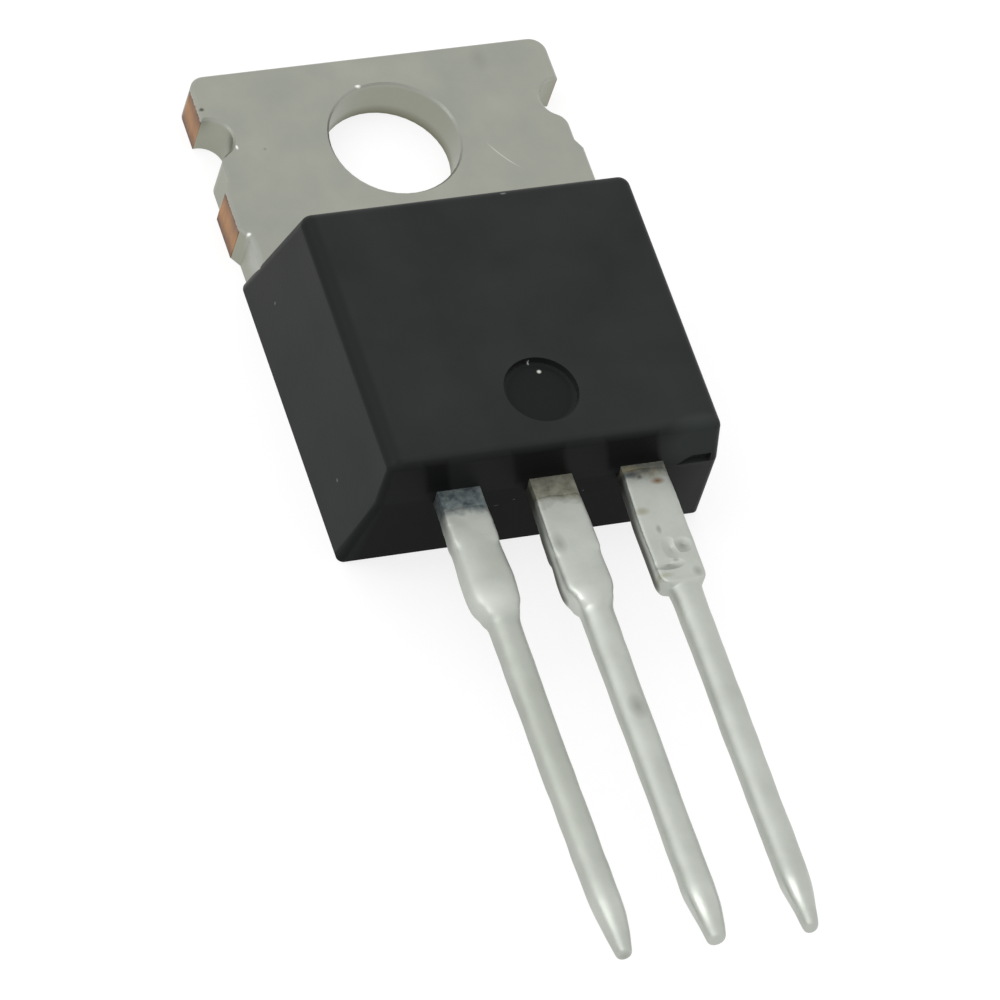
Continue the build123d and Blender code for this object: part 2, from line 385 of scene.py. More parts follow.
def flank_shade_mask(tree, place, left, ragged):
    """A mask of painted shade over the lower part of each lead's left side, fading out along the lead.
    """
    at = add_node(tree, "ShaderNodeSeparateXYZ", {0: place}).outputs
    across = add_node(tree, "ShaderNodeMath", {
        0: at["X"], 1: PITCH / 2, 2: -PITCH / 2}, operation="WRAP")
    away = add_node(tree, "ShaderNodeMath", {0: root_start, 1: at["Y"]}, operation="SUBTRACT")
    fading = add_node(tree, "ShaderNodeMath", {0: ragged, 1: 0.9, 2: away}, operation="MULTIPLY_ADD")
    fading = add_node(tree, "ShaderNodeMapRange", {
        "Value": fading, "From Min": 1.2, "From Max": 3.0, "To Min": 0.85, "To Max": 0.0})
    paler = add_node(tree, "ShaderNodeMath", {0: left, 1: -0.5, 2: 1.0}, operation="MULTIPLY_ADD")
    low = add_node(tree, "ShaderNodeMapRange", {
        "Value": at["Z"], "From Min": lead_top - FLANK_TOP, "From Max": lead_top - FLANK_FULL})
    # painted shade: the left side of each lead, just below its top
    shaded_flank = add_node(tree, "ShaderNodeMapRange", {
        "Value": across, "From Min": -0.565, "From Max": -0.590})
    return all_of(tree, (shaded_flank, fading, outside_moulding(tree, at["Y"]), paler, low))


print(f"flanks darken from {FLANK_TOP} to {FLANK_FULL} mm below the leads' top")

# %% [markdown]
# ### Marks on one root
#
# The emitter lead's root has a few marks of its own: two blue-black ones, a straw-coloured
# edge and a dot of rust.

# %% Marks on the emitter lead's root


def emitter_root_marks(tree, place):
    """The masks of the marks on the emitter lead's root, each with its colour."""
    top = lead_top + 0.04
    ink = spots(tree, place, (
        ((2.10, body_nose - 0.26, top), (0.20, 0.07, 0.3), 0.9),
        ((2.33, body_nose - 0.36, top), (0.06, 0.06, 0.3), 0.9)), 0.75)
    gold = spot(tree, place, (2.18, body_nose - 0.10, top), (0.26, 0.05, 0.3), 0.9, 0.5)
    rust = spot(tree, place, (2.78, body_nose - 0.55, top), (0.12, 0.07, 0.3), 0.9, 0.95)
    return (ink, "#3A4650"), (gold, "#B0A67E"), (rust, "#7E5A38")


print("made: emitter_root_marks")

# %% [markdown]
# ### The stains' colours
#
# Each stain is speckled between a dark and a light tone by a second, finer noise. Which lead
# a point is on is told from its place across the part, so one material does for all three.

# %% Stained roots
BLUE_STAIN = ("#454F54", "#8D9796")
BROWN_STAIN = ("#767669", "#9E9E90")
STRAW_STAIN = ("#6A706E", "#9B9785")


def stained_roots(tree, place, clean):
    """The clean colour with the stains and the painted shade of the left sides laid over it, and the
    stains' mask.
    """
    at = add_node(tree, "ShaderNodeSeparateXYZ", {0: place}).outputs
    left = add_node(tree, "ShaderNodeMath", {0: at["X"], 1: -PITCH / 2}, operation="LESS_THAN")
    right = add_node(tree, "ShaderNodeMath", {0: at["X"], 1: PITCH / 2}, operation="GREATER_THAN")
    ragged = add_node(tree, "ShaderNodeTexNoise", {"Vector": place, "Scale": 2.6, "Detail": 4.0})
    speckle = add_node(tree, "ShaderNodeTexNoise", {
        "Vector": place, "Scale": 3.4, "Detail": 4.0, "Roughness": 0.6})
    speckle = add_node(tree, "ShaderNodeMapRange", {
        "Value": speckle, "From Min": 0.32, "From Max": 0.68})
    blue, brown, straw = (
        add_node(tree, "ShaderNodeMix", {
            "Factor": speckle, "A": linear(dark), "B": linear(light)}, data_type="RGBA")
        for dark, light in (BLUE_STAIN, BROWN_STAIN, STRAW_STAIN))
    stain = root_stain(tree, at["Y"], left, right, ragged)
    colour = add_node(tree, "ShaderNodeMix", {"Factor": left, "A": brown, "B": blue}, data_type="RGBA")
    colour = add_node(tree, "ShaderNodeMix", {
        "Factor": right, "A": colour, "B": straw}, data_type="RGBA")
    colour = add_node(tree, "ShaderNodeMix", {
        "Factor": stain, "A": clean, "B": colour}, data_type="RGBA")
    # painted shade on the lead flanks, then the emitter root's marks
    shaded_flank = flank_shade_mask(tree, place, left, ragged)
    colour = painted(tree, colour, ((shaded_flank, "#33352F"), *emitter_root_marks(tree, place)))
    return colour, stain


print("stains: blue-black", *BLUE_STAIN, "brown", *BROWN_STAIN, "straw", *STRAW_STAIN)

# %% [markdown]
# ## The plated tab
#
# The leadframe is copper strip with a satin nickel plate from a dull bath. Nickel gives a
# warm grey metal, and the dull bath breaks its mirror into a soft sheen, so it is a full
# metal of middling roughness whose tone drifts a little over millimetres. On the walls that
# the punch made the plate is duller. Deep in the hole the wall is painted dark olive towards
# the floor, as the shadow at its foot. The height on the part and the distance from the
# hole's axis are enough to find those places.

# %% Nickel plate
HOLE_WALL = 1.83                # all that is nearer to the axis is the hole's wall
WALL_TOP, WALL_SURE = 1.22, 1.16    # heights between which the top's edge turns into wall
nickel, tree, place = new_material("satin_nickel_plate_on_copper")
at = add_node(tree, "ShaderNodeSeparateXYZ", {0: place}).outputs
tone = add_node(tree, "ShaderNodeTexNoise", {
    "Vector": place, "Scale": 0.7, "Detail": 4.0, "Roughness": 0.55})
tone = add_node(tree, "ShaderNodeMapRange", {"Value": tone, "From Min": 0.3, "From Max": 0.7})
plate = add_node(tree, "ShaderNodeMix", {
    "Factor": tone, "A": linear("#999C93"), "B": linear("#A3A49A")}, data_type="RGBA")
from_axis = add_node(tree, "ShaderNodeVectorMath", {0: place, 1: (1, 1, 0)}, operation="MULTIPLY")
from_axis = add_node(tree, "ShaderNodeVectorMath", {0: from_axis}, operation="LENGTH")
in_hole = add_node(tree, "ShaderNodeMath", {
    0: from_axis.outputs["Value"], 1: HOLE_WALL}, operation="LESS_THAN")
# painted shadow: the hole's wall darkens to olive near the floor
hole_foot_shadow = add_node(tree, "ShaderNodeMapRange", {
    "Value": at["Z"], "From Min": 0.0, "From Max": 0.38, "To Min": 1.0, "To Max": 0.0})
walls = add_node(tree, "ShaderNodeMapRange", {
    "Value": at["Z"], "From Min": WALL_TOP, "From Max": WALL_SURE, "To Max": 0.38})
plate = painted(tree, plate, (
    (all_of(tree, (hole_foot_shadow, in_hole)), "#5E5D48"),
    (walls, "#8C8D7A")))
print("plate toned, its walls below", WALL_TOP, "mm duller")

# %% [markdown]
# ### Marks on the plate
#
# A handled tab isn't spotless. It has a smudge, two small dark dots and a curved scratch.
# Beside the moulding its left edge carries a paler ridge, partly a rolled burr and partly a
# painted highlight, and three painted glints stand for the light caught by small burrs on
# its edges. The scratch is a piece of a thin circle: a Compare finds what lies at one radius
# from its centre, and a spot keeps only a short arc of it. The stained root of the middle
# lead, which is one with the tab, comes last.

# %% Marks on the plate
# painted highlights: three glints where small burrs on the edges catch the light
PAINTED_GLINTS = (
    ((-0.52, 1.80, 1.28), (0.07, 0.04, 0.2)),
    ((-4.40, 0.30, 1.28), (0.03, 0.06, 0.2)),
    ((-4.89, -2.50, 1.28), (0.05, 0.04, 0.2)))
SCRATCH_CENTRE, SCRATCH_RADIUS, SCRATCH_HALF_WIDTH = (5.166, 0.774, 1.3), 3.0, 0.014
# a rolled burr on the left edge, with a painted highlight along it
burr_and_highlight = spot(tree, place, (-4.86, -3.10, 1.2), (0.12, 0.62, 0.6), 0.35)
circle = add_node(tree, "ShaderNodeVectorMath", {0: place, 1: SCRATCH_CENTRE}, operation="DISTANCE")
circle = add_node(tree, "ShaderNodeMath", {
    0: circle.outputs["Value"], 1: SCRATCH_RADIUS, 2: SCRATCH_HALF_WIDTH}, operation="COMPARE")
scratch = all_of(tree, (circle, spot(tree, place, (2.78, -0.99, 1.3), (0.44, 0.44, 0.2), 0.4)))
dirt = any_of(tree, (
    spot(tree, place, (-3.66, 0.14, 1.3), (0.04, 0.04, 0.1), strength=0.35),
    spot(tree, place, (3.09, 2.24, 1.3), (0.17, 0.26, 0.3), 0.9, strength=0.16),
    spot(tree, place, (-5.00, 1.64, 1.28), (0.06, 0.05, 0.1))))
plate = painted(tree, plate, (
    (burr_and_highlight, "#A5A8A0"),
    (scratch, "#C2C4BC"),
    (spots(tree, place, PAINTED_GLINTS), "#F6F8F2"),
    (dirt, "#55574D")))
plate, stained = stained_roots(tree, place, plate)
print("scratch on a circle of", SCRATCH_RADIUS, "mm, and", len(PAINTED_GLINTS), "glints")

# %% [markdown]
# ### Sheared copper
#
# The plate came before the last cut, so raw copper shows where the tie bars were sheared off
# the tab's sides. It is paler along its middle and darker at its edges, with the upright
# drag lines of the shear, and the plate was smeared over its top edge in a ragged line. A
# noise that is stretched upwards gives the lines. The real ones are too fine to show on the
# whole part, so they are drawn about 0.1 mm apart.

# %% Sheared copper
COPPER_MIDDLE, COPPER_TOP = 0.62, 1.13
drag = add_node(tree, "ShaderNodeVectorMath", {0: place, 1: (1, 9, 0.9)}, operation="MULTIPLY")
drag = add_node(tree, "ShaderNodeTexNoise", {"Vector": drag, "Scale": 1.0, "Detail": 3.0})
drag = add_node(tree, "ShaderNodeMapRange", {"Value": drag, "From Min": 0.3, "From Max": 0.7})
patchy = add_node(tree, "ShaderNodeTexNoise", {"Vector": place, "Scale": 1.6, "Detail": 3.0})
patchy = add_node(tree, "ShaderNodeMapRange", {"Value": patchy, "From Min": 0.35, "From Max": 0.65})
shade = add_node(tree, "ShaderNodeMix", {"Factor": 0.65, "A": drag, "B": patchy}, data_type="FLOAT")
pale = add_node(tree, "ShaderNodeMath", {0: at["Z"], 1: COPPER_MIDDLE}, operation="SUBTRACT")
pale = add_node(tree, "ShaderNodeMath", {0: pale}, operation="ABSOLUTE")
pale = add_node(tree, "ShaderNodeMapRange", {
    "Value": pale, "From Min": 0.15, "From Max": 0.58, "To Min": 1.0, "To Max": 0.0})
shade = add_node(tree, "ShaderNodeMix", {"Factor": 0.55, "A": shade, "B": pale}, data_type="FLOAT")
shade = add_node(tree, "ShaderNodeMapRange", {"Value": shade, "From Min": 0.12, "From Max": 0.88})
copper = add_node(tree, "ShaderNodeMix", {
    "Factor": shade, "A": linear("#4E2A0E"), "B": linear("#A5743F")}, data_type="RGBA")
outermost = add_node(tree, "ShaderNodeMath", {0: at["X"]}, operation="ABSOLUTE")
outermost = add_node(tree, "ShaderNodeMath", {
    0: outermost, 1: tab_edge - 0.015}, operation="GREATER_THAN")
smear = add_node(tree, "ShaderNodeMath", {0: drag, 1: 0.10, 2: COPPER_TOP}, operation="MULTIPLY_ADD")
below = add_node(tree, "ShaderNodeMath", {0: at["Z"], 1: smear}, operation="LESS_THAN")
sheared = all_of(tree, (outermost, below))
print(f"raw copper {tab_edge:.2f} mm out and up to about {COPPER_TOP:.2f} mm")

# %% [markdown]
# ### The metal's shader
#
# Plate and copper are both bare metal, so one shader does for both, fully metallic and with
# the usual IOR of a metal. The stains are resin rather than metal, so they are rougher. The
# dull bath leaves a fine grit, which is a bump of a tenth of a millimetre here, because the
# real one is too fine to show.

# %% The metal's shader
skin = add_node(tree, "ShaderNodeMix", {"Factor": sheared, "A": plate, "B": copper}, data_type="RGBA")
gloss = add_node(tree, "ShaderNodeMapRange", {"Value": tone, "To Min": 0.33, "To Max": 0.40})
gloss = add_node(tree, "ShaderNodeMix", {"Factor": stained, "A": gloss, "B": 0.62}, data_type="FLOAT")
grit = add_node(tree, "ShaderNodeTexNoise", {"Vector": place, "Scale": 9.0, "Detail": 2.0})
relief = add_node(tree, "ShaderNodeBump", {"Strength": 0.25, "Distance": mm(0.01), "Height": grit})
shader = add_node(tree, "ShaderNodeBsdfPrincipled", {
    "Base Color": skin, "Metallic": 1.0, "Roughness": gloss, "Normal": relief})
add_node(tree, "ShaderNodeOutputMaterial", {"Surface": shader})
for name in ("collector_tab", "base_lead", "emitter_lead"):
    dress(name, nickel)
    print("plated:", name)

# %% [markdown]
# ## The moulding
#
# The moulding is epoxy filled with silica and carbon black, pressed into a steel mould whose
# walls were spark-eroded to a fine matt. That gives a satin charcoal, not quite black and a
# touch green, with a grain far finer than a millimetre and a weak sheen. The colour drifts
# by a shade where the resin flowed. The long side is painted darker and greener as shade,
# more so towards the leads, and the front's left edge is darker. A corner above the right
# lead is painted paler, as light falling on it. The ejector mark was left by the flat end of
# a turned pin, so its floor is smoother. Some of these places have straight sides, so they
# need a mask like a box.

# %% Helper for a mask with straight sides


def block(tree, place, low, high, soft):
    """A mask that is 1 inside a box between two corners and fades out over `soft` mm."""
    middle = [(a + b) / 2 for a, b in zip(low, high)]
    half = [(b - a) / 2 for a, b in zip(low, high)]
    away = add_node(tree, "ShaderNodeVectorMath", {0: place, 1: middle}, operation="SUBTRACT")
    away = add_node(tree, "ShaderNodeVectorMath", {0: away}, operation="ABSOLUTE")
    away = add_node(tree, "ShaderNodeVectorMath", {0: away, 1: half}, operation="SUBTRACT")
    away = add_node(tree, "ShaderNodeSeparateXYZ", {0: away}).outputs
    over = any_of(tree, [away["X"], away["Y"], away["Z"]])
    return add_node(tree, "ShaderNodeMapRange", {
        "Value": over, "From Min": -soft, "From Max": soft, "To Min": 1.0, "To Max": 0.0})


print("made: block")

# %% [markdown]
# ### The lead end
#
# The lead end is painted darker below the parting line, and a little above it, as shade, and
# it is duller there too. The painted shade fades towards the right corner, sooner above the
# line than below it. The draft leans that end back by 0.167 mm for each millimetre away from
# the parting line, and taking that off first tells the end from the rest. Above the leads,
# three dark patches that lean to the left are painted reflections of the leads.

# %% Lead end of the black epoxy
DRAFT = 0.167
# painted reflections of the three leads in the lead end
LEAD_REFLECTIONS = (                     # left and right side of each, and its foot above the parting line
    (-2.58, -1.95, 0.25), (-0.16, 1.25, 0.15), (2.42, 3.85, 0.20))
epoxy, tree, place = new_material("satin_moulded_black_epoxy")
at = add_node(tree, "ShaderNodeSeparateXYZ", {0: place}).outputs
below = add_node(tree, "ShaderNodeMapRange", {
    "Value": at["Z"], "From Min": parting + 0.02, "From Max": parting - 0.02, "To Min": 0.35})
upright = add_node(tree, "ShaderNodeMath", {0: at["Z"], 1: parting}, operation="SUBTRACT")
upright = add_node(tree, "ShaderNodeMath", {0: upright}, operation="ABSOLUTE")
upright = add_node(tree, "ShaderNodeMath", {
    0: upright, 1: -DRAFT, 2: at["Y"]}, operation="MULTIPLY_ADD")
lead_end = add_node(tree, "ShaderNodeMapRange", {
    "Value": upright, "From Min": body_nose + 0.14, "From Max": body_nose + 0.08})
corner = add_node(tree, "ShaderNodeMapRange", {
    "Value": at["Z"], "From Min": parting - 0.02, "From Max": parting + 0.02,
    "To Min": 4.5, "To Max": 3.4})
corner = add_node(tree, "ShaderNodeMath", {0: corner, 1: at["X"]}, operation="SUBTRACT")
inner = add_node(tree, "ShaderNodeMapRange", {
    "Value": corner, "From Min": 0.0, "From Max": 1.8, "To Min": 0.25, "To Max": 1.0})
# painted shade: the lead end darker below the parting line, fading to the right
lead_end_shade = all_of(tree, (below, lead_end, inner))
lean = add_node(tree, "ShaderNodeVectorMath", {0: place, 1: (0, 0, 0.25)}, operation="DOT_PRODUCT")
lean = add_node(tree, "ShaderNodeCombineXYZ", {"X": lean.outputs["Value"]})
lean = add_node(tree, "ShaderNodeVectorMath", {0: place, 1: lean}, operation="ADD")
# painted reflections of the leads: a leaning dark block above each lead
lead_reflections = any_of(tree, [
    block(tree, lean, (left, body_nose, parting + foot),
          (right, body_nose + 0.5, front_height - 0.12), 0.08)
    for left, right, foot in LEAD_REFLECTIONS])
print("lead end shaded, with", len(LEAD_REFLECTIONS), "smooth patches")

# %% [markdown]
# ### Colour of the moulding
#
# All that changes the charcoal is laid over it in turn, from the large shades to the small
# marks: a few pale grains of dust, and two pale chips that stick in the ejector mark.

# %% Colour of the black epoxy
LEFT_WALL = -4.86               # the long side, halfway down its slope
EJECTOR_MARK = (0.10, body_nose + 1.97, front_height)
DUST = (
    ((LEFT_WALL, -4.86, 1.44), (0.3, 0.035, 0.05)),
    ((LEFT_WALL, -10.53, 1.45), (0.3, 0.045, 0.04)),
    ((1.01, -4.28, front_height), (0.07, 0.03, 0.1)),
    ((-1.22, body_nose, 2.08), (0.07, 0.3, 0.02)),
    ((-0.78, body_nose, 2.29), (0.03, 0.3, 0.03)),
    ((1.15, body_nose, 2.26), (0.03, 0.3, 0.03)))
CHIPS = (
    ((0.08, -9.48, 4.19), (0.024, 0.050, 0.07)),
    ((0.30, -9.78, 4.15), (0.050, 0.045, 0.1)))
flow = add_node(tree, "ShaderNodeTexNoise", {
    "Vector": place, "Scale": 0.45, "Detail": 3.0, "Roughness": 0.5})
flow = add_node(tree, "ShaderNodeMapRange", {"Value": flow, "From Min": 0.3, "From Max": 0.7})
charcoal = add_node(tree, "ShaderNodeMix", {
    "Factor": flow, "A": linear("#2A2C2B"), "B": linear("#303231")}, data_type="RGBA")
# painted light: the lead end's right corner, above the parting line, is paler
lit_corner = spot(tree, place, (4.00, body_nose + 0.15, 3.75), (0.85, 0.5, 0.75), 0.35)
ejector = spot(tree, place, EJECTOR_MARK, (0.97, 0.97, 0.6), 0.06)
# painted shade: the long side darker and greener, more so towards the leads
long_side_shade = add_node(tree, "ShaderNodeMapRange", {
    "Value": at["X"], "From Min": -4.50, "From Max": -4.70})
towards_leads = add_node(tree, "ShaderNodeMapRange", {
    "Value": at["Y"], "From Min": -4.0, "From Max": body_nose, "To Min": 0.25})
# the front's left edge, darker
darker_front_edge = block(tree, place, (-4.66, body_nose + 0.2, front_height - 0.3),
               (-4.24, -3.5, front_height + 0.1), 0.07)
charcoal = painted(tree, charcoal, (
    (lead_end_shade, "#141515"),
    (lead_reflections, "#131414"),
    (lit_corner, "#3C413E"),
    (ejector, "#1F2120"),
    (all_of(tree, (long_side_shade, towards_leads)), "#232825"),
    (darker_front_edge, "#262928"),
    (spots(tree, place, DUST, 0.55), "#8A8D88"),
    (spots(tree, place, CHIPS), "#D2D4CE")))
print(len(DUST), "grains of dust and", len(CHIPS), "chips in the ejector mark")

# %% [markdown]
# ### Shader of the moulding
#
# A filled resin mirrors little, so the specular level is low. The lead end is duller where
# its shade is painted, below the parting line, and the ejector mark is shinier. The real grain
# is about 0.03 mm, and it is drawn at 0.1 mm so that it can be seen at all.

# %% Shader of the black epoxy
gloss = add_node(tree, "ShaderNodeMapRange", {"Value": flow, "To Min": 0.30, "To Max": 0.40})
gloss = add_node(tree, "ShaderNodeMix", {"Factor": lead_end_shade, "A": gloss, "B": 0.65}, data_type="FLOAT")
gloss = add_node(tree, "ShaderNodeMix", {"Factor": ejector, "A": gloss, "B": 0.22}, data_type="FLOAT")
grain = add_node(tree, "ShaderNodeTexNoise", {"Vector": place, "Scale": 10.0, "Detail": 2.0})
relief = add_node(tree, "ShaderNodeBump", {"Strength": 0.20, "Distance": mm(0.01), "Height": grain})
shader = add_node(tree, "ShaderNodeBsdfPrincipled", {
    "Base Color": charcoal, "Roughness": gloss, "Specular IOR Level": 0.05, "Normal": relief})
add_node(tree, "ShaderNodeOutputMaterial", {"Surface": shader})
dress("moulded_body", epoxy)
print("dressed: moulded_body, with", len(tree.nodes), "nodes")

# %% [markdown]
# ## The chip
#
# The chip, its solder and the bond wires lie inside the moulding and are seen only when it
# is hidden. They still get what they are. The chip is silicon sawn from a polished wafer:
# blue-grey and nearly a mirror, with a faint haze from a soft noise.

# %% Polished silicon
silicon, tree, place = new_material("polished_sawn_silicon")
haze = add_node(tree, "ShaderNodeTexNoise", {"Vector": place, "Scale": 1.5, "Detail": 3.0})
tint = add_node(tree, "ShaderNodeMix", {
    "Factor": haze, "A": linear("#3B3E47"), "B": linear("#4A4C55")}, data_type="RGBA")
gloss = add_node(tree, "ShaderNodeMapRange", {"Value": haze, "To Min": 0.08, "To Max": 0.22})
shader = add_node(tree, "ShaderNodeBsdfPrincipled", {
    "Base Color": tint, "Metallic": 0.7, "Roughness": gloss})
add_node(tree, "ShaderNodeOutputMaterial", {"Surface": shader})
dress("silicon_die", silicon)
print("dressed: silicon_die")

# %% [markdown]
# ## The chip's solder
#
# Die solder is a dull lead-rich grey that froze in small grains, and Voronoi cells look
# like frozen grains. They are drawn coarser than real, so that they show on a piece this
# small.

# %% Frozen die solder
frozen, tree, place = new_material("dull_frozen_die_solder")
grains = add_node(tree, "ShaderNodeTexVoronoi", {"Vector": place, "Scale": 7.0})
tint = add_node(tree, "ShaderNodeMix", {
    "Factor": grains.outputs["Color"], "A": linear("#83868A"),
    "B": linear("#A0A2A4")}, data_type="RGBA")
relief = add_node(tree, "ShaderNodeBump", {
    "Strength": 0.5, "Distance": mm(0.01), "Height": grains.outputs["Distance"]})
shader = add_node(tree, "ShaderNodeBsdfPrincipled", {
    "Base Color": tint, "Metallic": 1.0, "Roughness": 0.5, "Normal": relief})
add_node(tree, "ShaderNodeOutputMaterial", {"Surface": shader})
dress("die_solder", frozen)
print("dressed: die_solder")

# %% [markdown]
# ## The bond wires
#
# The bond wires are drawn aluminium, bright with the fine lines of the drawing die. A noise
# that is stretched along the wire gives such lines, again coarser than the real ones.

# %% Drawn aluminium
drawn, tree, place = new_material("drawn_aluminium_wire")
lines = add_node(tree, "ShaderNodeVectorMath", {0: place, 1: (12, 0.8, 12)}, operation="MULTIPLY")
lines = add_node(tree, "ShaderNodeTexNoise", {"Vector": lines, "Scale": 1.0, "Detail": 3.0})
tint = add_node(tree, "ShaderNodeMix", {
    "Factor": lines, "A": linear("#C3C4C2"), "B": linear("#DADBD9")}, data_type="RGBA")
gloss = add_node(tree, "ShaderNodeMapRange", {"Value": lines, "To Min": 0.18, "To Max": 0.34})
relief = add_node(tree, "ShaderNodeBump", {"Strength": 0.2, "Distance": mm(0.005), "Height": lines})
shader = add_node(tree, "ShaderNodeBsdfPrincipled", {
    "Base Color": tint, "Metallic": 1.0, "Roughness": gloss, "Normal": relief})
add_node(tree, "ShaderNodeOutputMaterial", {"Surface": shader})
for name in ("base_bond_wire", "emitter_bond_wire"):
    dress(name, drawn)
    print("dressed:", name)

# %% [markdown]
# ## The dipped solder
#
# The leads were dipped in solder up to just short of the moulding. Solder wets the flat
# lead in a thin skin that takes its shape, is drawn by its own surface into a round section
# on the slim part, gathers in a soft bulge at the shoulders and rounds off the tip. A real
# coat could be sculpted, but it is simpler to say how wide and how thick it is along the
# lead. The three coats differ, as three dips do, so each has its own list of rings:
# distance from the moulding, half widths to the left and to the right, and half thickness,
# in millimetres.

# %% Rings of the three coats
BASE_RINGS = (
    (0.62, 0.598, 0.596, 0.257), (1.00, 0.616, 0.608, 0.280), (1.70, 0.646, 0.622, 0.330),
    (2.40, 0.684, 0.652, 0.386), (2.95, 0.692, 0.658, 0.420), (3.36, 0.684, 0.654, 0.430),
    (3.54, 0.600, 0.592, 0.420), (3.68, 0.500, 0.512, 0.404), (3.95, 0.454, 0.466, 0.384),
    (4.50, 0.452, 0.462, 0.362), (7.50, 0.444, 0.444, 0.350), (9.80, 0.456, 0.442, 0.350),
    (12.00, 0.436, 0.446, 0.370), (12.50, 0.424, 0.452, 0.392), (12.92, 0.348, 0.414, 0.338),
    (13.40, 0.260, 0.320, 0.280), (13.78, 0.226, 0.238, 0.248), (13.96, 0.182, 0.192, 0.218))
COLLECTOR_RINGS = (
    (0.62, 0.600, 0.596, 0.258), (1.00, 0.614, 0.608, 0.268), (1.70, 0.636, 0.614, 0.290),
    (2.40, 0.664, 0.624, 0.340), (2.95, 0.680, 0.642, 0.374), (3.36, 0.676, 0.646, 0.402),
    (3.54, 0.604, 0.594, 0.404), (3.68, 0.514, 0.524, 0.398), (3.95, 0.482, 0.502, 0.382),
    (4.50, 0.476, 0.486, 0.364), (7.50, 0.462, 0.468, 0.352), (9.80, 0.442, 0.454, 0.352),
    (12.00, 0.452, 0.458, 0.370), (12.54, 0.456, 0.472, 0.398), (12.96, 0.386, 0.456, 0.344),
    (13.42, 0.308, 0.376, 0.284), (13.79, 0.248, 0.298, 0.252), (13.96, 0.204, 0.232, 0.220))
EMITTER_RINGS = (
    (0.15, 0.588, 0.588, 0.249), (0.50, 0.602, 0.602, 0.259), (1.70, 0.666, 0.608, 0.268),
    (2.40, 0.662, 0.602, 0.272), (3.00, 0.646, 0.596, 0.284), (3.44, 0.652, 0.604, 0.304),
    (3.56, 0.590, 0.560, 0.322), (3.70, 0.490, 0.490, 0.352), (3.95, 0.448, 0.466, 0.372),
    (4.50, 0.440, 0.466, 0.366), (7.50, 0.434, 0.462, 0.356), (9.80, 0.430, 0.468, 0.352),
    (12.00, 0.428, 0.460, 0.366), (12.54, 0.428, 0.462, 0.398), (12.98, 0.360, 0.414, 0.342),
    (13.42, 0.272, 0.314, 0.284), (13.85, 0.220, 0.236, 0.252), (14.08, 0.182, 0.184, 0.218))
print("rings in a coat:", len(BASE_RINGS))

# %% [markdown]
# ### Growing a coat
#
# Each coat is its own piece, grown from a small block inside the lead. Its front face is
# pulled out to the next ring by Extrude, and Resize sets it to the width and thickness there,
# about the ring's own centre. A coat may drift to one side on the slim part, as a lead that
# was pulled out of the bath at a slant does.

# %% Growing a coat
BLOCK_HALF_WIDTH, BLOCK_HALF_HEIGHT, BLOCK_LENGTH = 0.572, 0.236, 0.04
SHOULDER, SLIM_LENGTH = 3.50, 9


def grow_coat(centre_x, rings, start, drift):
    """Grow a coat ring by ring; it is left in edit mode."""
    half_width, half_height = BLOCK_HALF_WIDTH, BLOCK_HALF_HEIGHT
    bpy.ops.mesh.primitive_cube_add(
        size=1, location=mm(centre_x, body_nose - start, parting),
        scale=mm(2 * half_width, BLOCK_LENGTH, 2 * half_height))
    coat = bpy.context.object
    bpy.ops.object.transform_apply(location=True, rotation=True, scale=True)
    bpy.ops.object.mode_set(mode="EDIT")
    bpy.ops.mesh.select_mode(type="FACE")
    bpy.ops.mesh.select_all(action="DESELECT")
    bm = bmesh.from_edit_mesh(coat.data)
    min(bm.faces, key=lambda face: face.normal.y).select_set(True)
    bmesh.update_edit_mesh(coat.data)
    at, x = start + BLOCK_LENGTH / 2, centre_x
    for distance, left, right, next_height in rings:
        next_width = (left + right) / 2
        next_x = centre_x + (right - left) / 2 + drift * max(0, distance - SHOULDER) / SLIM_LENGTH
        bpy.ops.mesh.extrude_region_move(
            TRANSFORM_OT_translate={"value": mm(next_x - x, at - distance, 0)})
        at, x = distance, next_x
        bpy.ops.transform.resize(
            value=(next_width / half_width, 1, next_height / half_height),
            center_override=mm(x, body_nose - at, parting))
        half_width, half_height = next_width, next_height
    return coat


print(f"a coat grows from a block {2 * BLOCK_HALF_WIDTH:.2f} x {2 * BLOCK_HALF_HEIGHT:.2f} mm")

# %% [markdown]
# ### Rounding a coat
#
# A Subdivision Surface rounds the coat off. Creased edges hold their place in it, so the
# edges along the wide part are creased, most near the moulding, and the skin stays as flat
# as the lead below it. The slim part has no crease and goes round. Solder doesn't set quite
# even, so a weak Displace with a soft cloud pattern gives it waves of about a millimetre.

# %% Rounding a coat
uneven_solder = bpy.data.textures.new("uneven_solder", "CLOUDS")
uneven_solder.noise_scale = mm(0.9)
uneven_solder.noise_depth = 1
ALONG = 0.05                    # an edge that goes on for more than this runs along the lead


def crease_lengthwise(coat, first, last, crease):
    """Crease the edges that run along the lead between two distances from the moulding."""
    bpy.ops.mesh.select_all(action="DESELECT")
    bpy.ops.mesh.select_mode(type="EDGE")
    bm = bmesh.from_edit_mesh(coat.data)
    for edge in bm.edges:
        near, far = sorted(body_nose - v.co.y / MM for v in edge.verts)
        if far - near > ALONG and first < (near + far) / 2 < last:
            edge.select_set(True)
    bmesh.update_edit_mesh(coat.data)
    bpy.ops.transform.edge_crease(value=crease)


